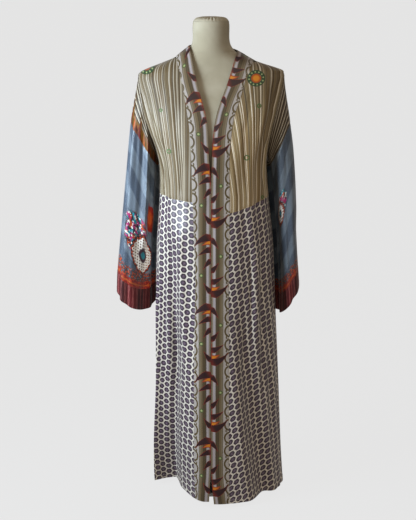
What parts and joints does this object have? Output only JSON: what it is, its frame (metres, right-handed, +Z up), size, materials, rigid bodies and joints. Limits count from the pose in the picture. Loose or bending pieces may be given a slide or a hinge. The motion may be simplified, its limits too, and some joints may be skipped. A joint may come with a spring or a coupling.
{
  "type": "kimono robe on a dress form",
  "caption": "Long open-front kimono robe of patchwork silk with a neckband down to the hem and wide sleeves, worn by a limbless linen dress form on a pole and round foot.",
  "frame": {"origin": "middle of the stand's underside, on the floor, below the form's neck", "axes": "+Z up along the pole, the garment's open front faces -Y, the wearer's left side is +X"},
  "size_m": [0.54, 0.3403, 1.4177],
  "materials": {
    "striped_silk": "tan silk with narrow upright stripes, soft sheen",
    "dotted_silk": "cream silk with plum hexagon dots, soft sheen",
    "band_silk": "off-white silk with lengthwise stripes and leaf sprays, soft sheen",
    "grey_silk": "slate grey silk with a tonal print, soft sheen",
    "wine_silk": "wine red silk with fine chain lines, soft sheen",
    "linen": "cream linen, matt",
    "painted_steel": "off-white, satin"
  },
  "bodies": {
    "root": {"skirt_front_left": "dotted_silk", "skirt_front_right": "dotted_silk", "skirt_back": "dotted_silk", "bodice_front_left": "striped_silk", "bodice_front_right": "striped_silk", "bodice_back": "striped_silk", "sleeve_top_left": "striped_silk", "sleeve_top_right": "striped_silk", "band_front_left": "band_silk", "band_front_right": "band_silk", "band_back": "band_silk", "sleeve_left": "grey_silk", "sleeve_right": "grey_silk", "cuff_left": "wine_silk", "cuff_right": "wine_silk", "form_torso": "linen", "form_neck": "linen", "form_cap": "linen", "stand_pole": "painted_steel", "stand_base": "painted_steel"}
  },
  "joints": []
}
